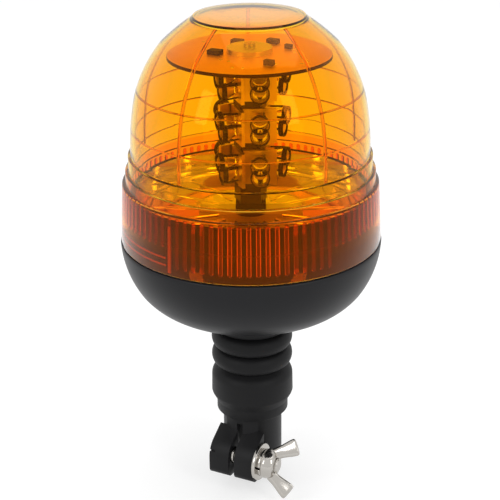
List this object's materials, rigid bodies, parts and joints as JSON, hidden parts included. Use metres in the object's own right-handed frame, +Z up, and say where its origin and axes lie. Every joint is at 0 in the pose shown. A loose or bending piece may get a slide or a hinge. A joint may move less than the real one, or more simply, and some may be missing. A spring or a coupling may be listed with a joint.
{
  "type": "rotating beacon",
  "caption": "LED warning beacon: amber dome with a fluted skirt on a black bowl, rubber neck and a split pole clamp with a wing nut.",
  "frame": {"origin": "centre of the pole socket's mouth", "axes": "+Z up along the pole and the dome's axis, -Y through the slot between the clamp's lugs, +X along the clamp bolt towards the wing nut"},
  "size_m": [0.1284, 0.1284, 0.245],
  "materials": {
    "socket_nylon": "moulded glass-filled nylon, fine grain",
    "plated_steel": "bright zinc plate",
    "insulator": "moulded black",
    "contact_brass": "nickel-free brass",
    "spring_steel": "drawn wire",
    "neck_rubber": "moulded rubber, matt",
    "lead_sleeve": "PVC sleeve",
    "bowl_plastic": "satin moulded ABS",
    "screw_steel": "zinc plated",
    "driver_laminate": "solder mask",
    "ferrite": "ferrite",
    "capacitor_can": "sleeved can",
    "chip_resin": "epoxy resin",
    "deck_plastic": "moulded ABS, matt",
    "seal_rubber": "rubber",
    "amber_polycarbonate": "clear amber, polished mould",
    "bracket_aluminium": "plain",
    "core_aluminium": "black anodised",
    "led_laminate": "white solder mask",
    "led_phosphor": "silicone over phosphor",
    "holder_plastic": "moulded black",
    "clear_optic": "clear acrylic",
    "top_laminate": "white solder mask"
  },
  "bodies": {
    "socket": {"clamp_socket": "socket_nylon", "clamp_bolt": "plated_steel", "flat_washer": "plated_steel", "contact_carrier": "insulator", "earth_ring": "contact_brass", "live_terminal": "contact_brass", "contact_spring": "spring_steel"},
    "lock_washer": {"lock_washer": "plated_steel"},
    "wing_nut": {"wing_nut": "plated_steel"},
    "contact_pin": {"contact_pin": "contact_brass"},
    "neck": {"flexible_neck": "neck_rubber", "supply_wires": "lead_sleeve"},
    "head": {"input_terminal": "insulator", "tower_plug": "insulator", "hub_cap": "insulator", "base_bowl": "bowl_plastic", "neck_retainer": "bowl_plastic", "retainer_screws": "screw_steel", "driver_screws": "screw_steel", "deck_screws": "screw_steel", "top_screw": "screw_steel", "driver_board": "driver_laminate", "driver_coil": "ferrite", "driver_capacitors": "capacitor_can", "driver_chips": "chip_resin", "top_parts": "chip_resin", "inner_deck": "deck_plastic", "lens_seal": "seal_rubber", "dome_lens": "amber_polycarbonate", "tower_bracket": "bracket_aluminium", "tower_core": "core_aluminium", "tier_1_boards": "led_laminate", "tier_1_leds": "led_phosphor", "tier_1_holders": "holder_plastic", "tier_1_lenses": "clear_optic", "tier_2_boards": "led_laminate", "tier_2_leds": "led_phosphor", "tier_2_holders": "holder_plastic", "tier_2_lenses": "clear_optic", "tier_3_boards": "led_laminate", "tier_3_leds": "led_phosphor", "tier_3_holders": "holder_plastic", "tier_3_lenses": "clear_optic", "top_board": "top_laminate"}
  },
  "joints": [
    {"name": "neck_bend_fore", "type": "hinge", "parent": "socket", "child": "neck", "pos_m": [0, 0, 0.067], "axis": [1, 0, 0], "range_deg": [-15, 15], "stiffness_Nm_per_rad": 8, "deforming": ["flexible_neck", "supply_wires"]},
    {"name": "neck_bend_side", "type": "hinge", "parent": "neck", "child": "head", "pos_m": [0, 0, 0.077], "axis": [0, 1, 0], "range_deg": [-15, 15], "stiffness_Nm_per_rad": 8, "deforming": ["flexible_neck", "supply_wires"]},
    {"name": "nut_travel", "type": "slide", "parent": "socket", "child": "lock_washer", "axis": [1, 0, 0], "range_m": [0, 0.0022]},
    {"name": "wing_nut_turn", "type": "hinge", "parent": "lock_washer", "child": "wing_nut", "pos_m": [0.02, -0.018, 0.01], "axis": [1, 0, 0], "range_deg": [0, 640]},
    {"name": "contact_press", "type": "slide", "parent": "socket", "child": "contact_pin", "axis": [0, 0, 1], "range_m": [0, 0.003], "stiffness_N_per_m": 400, "springref_m": -0.004, "deforming": ["contact_spring"]}
  ],
  "couplings": [
    {"joint": "wing_nut_turn", "follows": "nut_travel", "rad_per_m": 5026.5}
  ]
}
